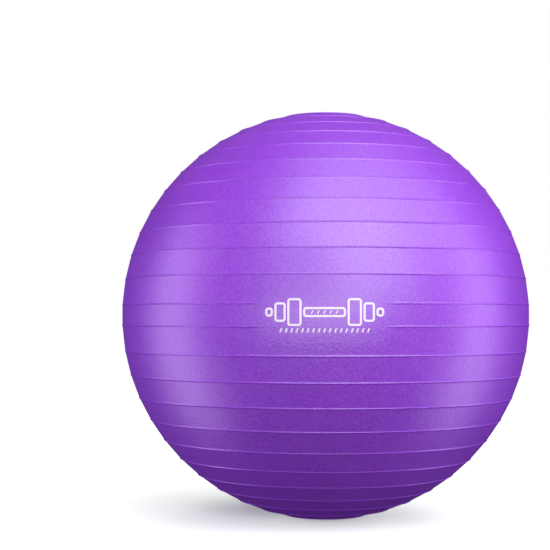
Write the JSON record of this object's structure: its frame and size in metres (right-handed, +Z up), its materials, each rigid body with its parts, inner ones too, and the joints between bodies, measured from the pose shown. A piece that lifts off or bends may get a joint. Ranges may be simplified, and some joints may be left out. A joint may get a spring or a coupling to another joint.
{
  "type": "exercise ball",
  "caption": "Inflated ribbed exercise ball with a smooth print panel at the front and, at the back, a filling valve closed by a pull-out plug.",
  "frame": {"origin": "middle of the flat patch that the standing ball rests on, straight below the ball's centre", "axes": "+Z up along the axis that the grip ribs run round; -Y to the front, where the smooth print panel is; +Y to the back, where the valve is"},
  "size_m": [0.651, 0.6501, 0.6486],
  "materials": {
    "ball_pvc": "satin",
    "seat_pvc": "satin",
    "plug_plastic": "satin",
    "print_ink": "matte"
  },
  "bodies": {
    "ball": {"ball_shell": "ball_pvc", "valve_seat": "seat_pvc"},
    "plug": {"valve_plug": "plug_plastic"}
  },
  "joints": [
    {"name": "plug_pull", "type": "slide", "parent": "ball", "child": "plug", "axis": [0, 1, 0], "range_m": [0, 0.03]}
  ]
}
